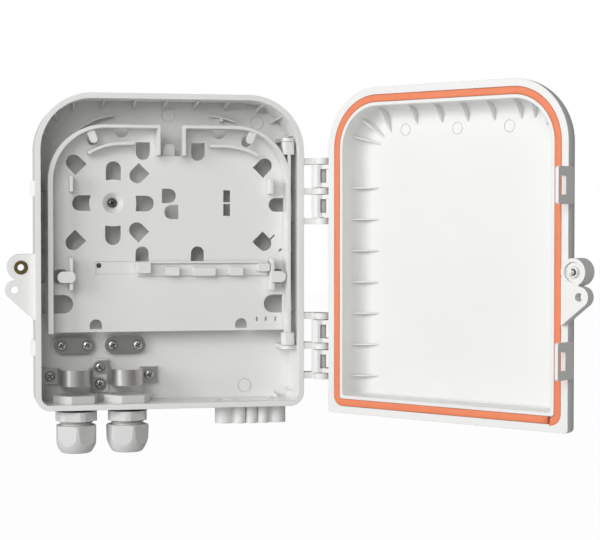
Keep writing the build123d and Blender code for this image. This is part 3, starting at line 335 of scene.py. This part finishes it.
def rubber(name, light, dark, rough):
    finish = Finish(name, IOR=1.43)
    cloud = finish.noise(scale=120.0, detail=4.0, rough=0.6)
    grain = finish.noise(scale=1500.0, detail=2.0, rough=0.6)
    finish.feed("Base Color", finish.blend(cloud, dark, light))
    finish.feed("Roughness", rough + cloud.sway(0.15))
    finish.relief(0.3 * MM, grain, depth=0.05 * MM, strength=0.5)
    return finish


washer_black = rubber(
    "washer_black", light=rgb(0.035, 0.035, 0.036), dark=rgb(0.02, 0.02, 0.02), rough=0.55
)
gasket_orange = rubber(
    "gasket_orange", light=rgb(0.90, 0.275, 0.13), dark=rgb(0.80, 0.215, 0.10), rough=0.5
)
for side in SIDES:
    dress(washer_black, f"gland_washer_{side}", f"gland_seal_{side}")

# %% [markdown]
# Two kinds of piece are added to the solids: the gasket, and the threads of the
# glands. Each is one section carried along a line. A curve with a bevel would
# do for a plain one, but these sections change form on the way, so a helper
# takes the section's points at every step, joins neighbouring steps with
# four-sided faces and closes both ends.

# %% Swept pieces


def sweep(name, sections, finish, smooth):
    """A mesh object through a row of sections, which are lists of points in metres."""
    shape = bmesh.new()
    rings = [[shape.verts.new(point) for point in section] for section in sections]
    for ring, following in zip(rings, rings[1:]):
        for n in range(len(ring)):
            k = (n + 1) % len(ring)
            shape.faces.new((ring[n], ring[k], following[k], following[n]))
    shape.faces.new(rings[0][::-1])
    shape.faces.new(rings[-1])
    bmesh.ops.recalc_face_normals(shape, faces=shape.faces)
    for face in shape.faces:
        face.smooth = smooth and len(face.verts) == 4
    mesh = bpy.data.meshes.new(name)
    shape.to_mesh(mesh)
    shape.free()
    mesh.materials.append(finish.material)
    piece = bpy.data.objects.new(name, mesh)
    bpy.context.scene.collection.objects.link(piece)
    print(name, len(mesh.polygons), "faces")
    return piece


# %% [markdown]
# ## Gasket
#
# The real gasket is one silicone cord, pressed into a groove round the lid and
# cut to length, with its two ends butted near the lower free corner. The CAD
# part has a square band there. Here it is a strip with a crowned top, swept
# along the groove's middle line. Its last few millimetres wander out of line
# where the ends meet, and that end is cut at a slant, so the joint gapes on the
# inside. The strip is laid out on the closed lid, where the groove is a plain
# rounded rectangle, and then turned open about the hinge. The groove's place
# comes from the CAD band, turned back to the closed lid and measured there.

# %% Opening the lid
hinge = next(j for j in frame["record"]["behaviour"]["joints"] if j["name"] == "lid_hinge")
PIVOT = Vector(hinge["pos_m"])
OPENING = math.radians(-hinge["range_deg"][0])
OPEN_LID = (
    Matrix.Translation(PIVOT) @ Matrix.Rotation(OPENING, 4, "Z") @ Matrix.Translation(-PIVOT)
)
print("lid opened by", round(math.degrees(OPENING), 1), "degrees")

# %% Groove on the closed lid, in millimetres
BAND_W = 5.7
TOP_R = 38.0
LOW_R = 5.1
band = [OPEN_LID.inverted() @ v.co / MM for v in frame["nodes"]["lid_gasket"].data.vertices]
HALF_W = max(spot.x for spot in band) - BAND_W / 2
HALF_H = max(spot.z for spot in band) - BAND_W / 2
BAND_TOP_Y = max(spot.y for spot in band)
print("groove's middle line:", round(2 * HALF_W, 2), "by", round(2 * HALF_H, 2), "mm")

# %% Gasket path
JOINT_IN = 7.0
JOINT_GAP = 1.0


def arc(x, z, radius, start, end, steps):
    """Points and outward directions along an arc, angles in degrees."""
    for n in range(steps + 1):
        turn = math.radians(start + (end - start) * n / steps)
        out = Vector((math.cos(turn), math.sin(turn)))
        yield Vector((x, z)) + out * radius, out


def run(first, last, out, steps):
    """Points along a straight stretch, without its ends."""
    for n in range(1, steps):
        yield first.lerp(last, n / steps), out


def gasket_path():
    """Middle line of the groove, from one side of the butt joint to the other."""
    top_x = HALF_W - TOP_R
    top_z = HALF_H - TOP_R
    low_x = HALF_W - LOW_R
    low_z = LOW_R - HALF_H
    joint_x = JOINT_IN - HALF_W
    down = Vector((0.0, -1.0))
    left = Vector((-1.0, 0.0))
    start = Vector((joint_x + JOINT_GAP / 2, -HALF_H))
    end = Vector((joint_x - JOINT_GAP / 2, -HALF_H))
    path = [(start, down)]
    path += run(start, Vector((low_x, -HALF_H)), down, steps=24)
    path += arc(low_x, low_z, LOW_R, -90, 0, steps=8)
    path += run(Vector((HALF_W, low_z)), Vector((HALF_W, top_z)), -left, steps=24)
    path += arc(top_x, top_z, TOP_R, 0, 90, steps=24)
    path += run(Vector((top_x, HALF_H)), Vector((-top_x, HALF_H)), -down, steps=16)
    path += arc(-top_x, top_z, TOP_R, 90, 180, steps=24)
    path += run(Vector((-HALF_W, top_z)), Vector((-HALF_W, low_z)), left, steps=24)
    path += arc(-low_x, low_z, LOW_R, 180, 270, steps=8)
    path += run(Vector((-low_x, -HALF_H)), end, down, steps=4)
    path.append((end, down))
    return path


# %% Gasket section, with heights from the top of the CAD band
STRIP_W = 5.3
STRIP_TOP = -0.02
STRIP_BOTTOM = -3.4
flank = [(0.5, STRIP_BOTTOM), (0.5, STRIP_TOP - 0.5)]
flank += [(0.44, STRIP_TOP - 0.22), (0.3, STRIP_TOP - 0.06)]
PROFILE = [(-across, height) for across, height in flank] + [(0.0, STRIP_TOP)] + flank[::-1]

# %% Gasket strip
DRIFT = 1.3
DRIFT_REACH = 9.0
CUT_BACK = 1.3
WAVE = 0.12
WAVE_RATE_X = 0.11
WAVE_RATE_Z = 0.07


def strip_section(point, out, tail):
    """The strip's section at one point of its path, on the open lid."""
    near_tail = max(0.0, 1.0 - (point - tail).length / DRIFT_REACH)
    drift = DRIFT * near_tail if point.x <= tail.x else 0.0
    wave = WAVE * math.sin(point.x * WAVE_RATE_X) * math.cos(point.y * WAVE_RATE_Z)
    cut_back = CUT_BACK if point == tail else 0.0
    section = []
    for across, height in PROFILE:
        spot = point + out * (across * STRIP_W + drift + wave)
        spot.x -= cut_back * (0.5 - across)
        closed = Vector((spot.x, BAND_TOP_Y + height, spot.y)) * MM
        section.append(OPEN_LID @ closed)
    return section


path = gasket_path()
sections = [strip_section(point, out, path[-1][0]) for point, out in path]
gasket = sweep("gasket_strip", sections, gasket_orange, smooth=True)
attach(gasket, "lid")
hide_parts("lid_gasket")

# %% [markdown]
# ## Gland threads
#
# Between each gland's flange and its dome nut a little coarse thread shows. A
# screw thread is a ridge that climbs one pitch for each turn, so the mesh is a
# helix of small tapered sections, just over one turn long, and the ridge fades
# into the neck at both ends. The solids keep a plain cylinder there.

# %% Thread ridge, in millimetres
NECK_R = 11.9
PITCH = 1.65
TURNS = 1.3
STEPS_PER_TURN = 40
FADE_STEPS = 12
RIDGE_TALL = 1.05
RIDGE_THICK = 1.0
CREST = (0.42, 0.58)
FLANK_R = NECK_R - 0.05
FOOT_R = NECK_R - 0.35
NUT_GAP = 0.1


def ridge_sections(x, y, low):
    """Sections of a helical ridge round a vertical neck."""
    count = round(TURNS * STEPS_PER_TURN)
    for n in range(count + 1):
        turn = 2 * math.pi * n / STEPS_PER_TURN
        rise = low + PITCH * n / STEPS_PER_TURN
        full = min(1.0, n / FADE_STEPS, (count - n) / FADE_STEPS)
        crest_r = NECK_R + RIDGE_TALL * full
        outline = [(FOOT_R, 0.0), (FLANK_R, 0.0), (crest_r, CREST[0]), (crest_r, CREST[1])]
        outline += [(FLANK_R, RIDGE_THICK), (FOOT_R, RIDGE_THICK)]
        section = []
        for radius, height in outline:
            spot = (x + radius * math.cos(turn), y + radius * math.sin(turn), rise + height)
            section.append(Vector(spot) * MM)
        yield section


# %% Thread of each gland
for side in SIDES:
    low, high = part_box(f"gland_nut_{side}")
    x, y = [(a + b) / 2 / MM for a, b in zip(low[:2], high[:2])]
    sections = ridge_sections(x, y, high[2] / MM + NUT_GAP)
    obj = sweep(f"gland_thread_{side}", sections, nylon_grey, smooth=False)
    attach(obj, "base")

# %% [markdown]
# ## Floor, light and camera
#
# The photograph has a clean white surround. The floor and the world look white
# to the camera only. The floor is nearly all glow there, so only a trace of the
# object's shadow stays on it. To the object the world is a dim, even light that
# keeps the shadows open, and metal mirrors it a little brighter.

# %% Floor
FLOOR_DROP = 0.263
FLOOR_Z = CAD_BOX[0].z - FLOOR_DROP
FLOOR_REACH = 9.0
corners = [(-1, -1), (1, -1), (1, 1), (-1, 1)]
floor_mesh = bpy.data.meshes.new("studio_floor")
floor_mesh.from_pydata(
    [(x * FLOOR_REACH, y * FLOOR_REACH, FLOOR_Z) for x, y in corners], [], [(0, 1, 2, 3)]
)
floor = bpy.data.objects.new("studio_floor", floor_mesh)
bpy.context.scene.collection.objects.link(floor)
print("floor at", round(FLOOR_Z, 3), "m")

# %% Floor's finish
GLOW_SHARE = 0.98
pale = Finish("studio_pale", Roughness=0.9)
mottle = pale.noise(scale=2.0, detail=2.0, rough=0.5)
pale.feed("Base Color", pale.blend(mottle, rgb(0.80, 0.80, 0.80), rgb(0.83, 0.83, 0.83)))
seen = pale.node("ShaderNodeLightPath", output="Is Camera Ray")
glow = pale.node("ShaderNodeEmission", {}, {"Color": rgb(1.0, 1.0, 1.0), "Strength": 1.0})
plain = Field(pale, pale.shader.outputs[0])
mixed = pale.node("ShaderNodeMixShader", {}, {0: seen * GLOW_SHARE, 1: plain, 2: glow})
pale.tree.links.new(mixed.socket, pale.tree.nodes["Material Output"].inputs["Surface"])
floor_mesh.materials.append(pale.material)

# %% World
FILL = 0.20
MIRRORED = 0.22
world = bpy.data.worlds.new("studio_world")
bpy.context.scene.world = world
world.use_nodes = True
sky = Nodes(world.node_tree)
to_camera = sky.node("ShaderNodeLightPath", output="Is Camera Ray")
in_gloss = sky.node("ShaderNodeLightPath", output="Is Glossy Ray")
strength = FILL + to_camera * (1.0 - FILL) + in_gloss * (MIRRORED - FILL)
background = sky.tree.nodes["Background"]
background.inputs["Color"].default_value = rgb(1.0, 1.0, 1.0)
sky.tree.links.new(strength.socket, background.inputs["Strength"])
print("world fill", FILL)

# %% [markdown]
# The key lamp stands far to the left and only a little in front of the wall, so
# the base's left side throws a soft shadow across its floor, as in the
# photograph. A weaker lamp stands higher and further round to the front: it
# lights the tray but still reaches little of the floor behind its openings.

# %% Lamps


def soft_lamp(name, at, aim, size, watts):
    lamp = bpy.data.lights.new(name, "AREA")
    lamp.shape = "SQUARE"
    lamp.size = size
    lamp.energy = watts
    obj = bpy.data.objects.new(name, lamp)
    obj.location = at
    obj.rotation_euler = (Vector(aim) - Vector(at)).to_track_quat("-Z", "Y").to_euler()
    bpy.context.scene.collection.objects.link(obj)
    print(name, watts, "W")


soft_lamp("key", at=(-2.05, -1.05, 0.5), aim=(0.05, 0.0, 0.0), size=1.1, watts=27.0)
soft_lamp("fill", at=(-0.8, -1.8, 0.75), aim=(0.1, 0.0, 0.0), size=1.0, watts=14.5)

# %% [markdown]
# The camera's place, aim and lens are those at which the straight edges of the
# base and the lid fall about where the photograph has them.

# %% Camera
camera = bpy.data.cameras.new("camera")
camera.sensor_width = 36.0
camera.lens = 101.96
eye = bpy.data.objects.new("camera", camera)
eye.location = (-0.17688, -1.35531, 0.02237)
aim = Vector((0.10117, -0.045, -0.01484))
eye.rotation_euler = (aim - eye.location).to_track_quat("-Z", "Y").to_euler()
bpy.context.scene.collection.objects.link(eye)
bpy.context.scene.camera = eye
bpy.context.scene.view_settings.view_transform = "Standard"
print("camera", round((aim - eye.location).length, 3), "m from its aim")
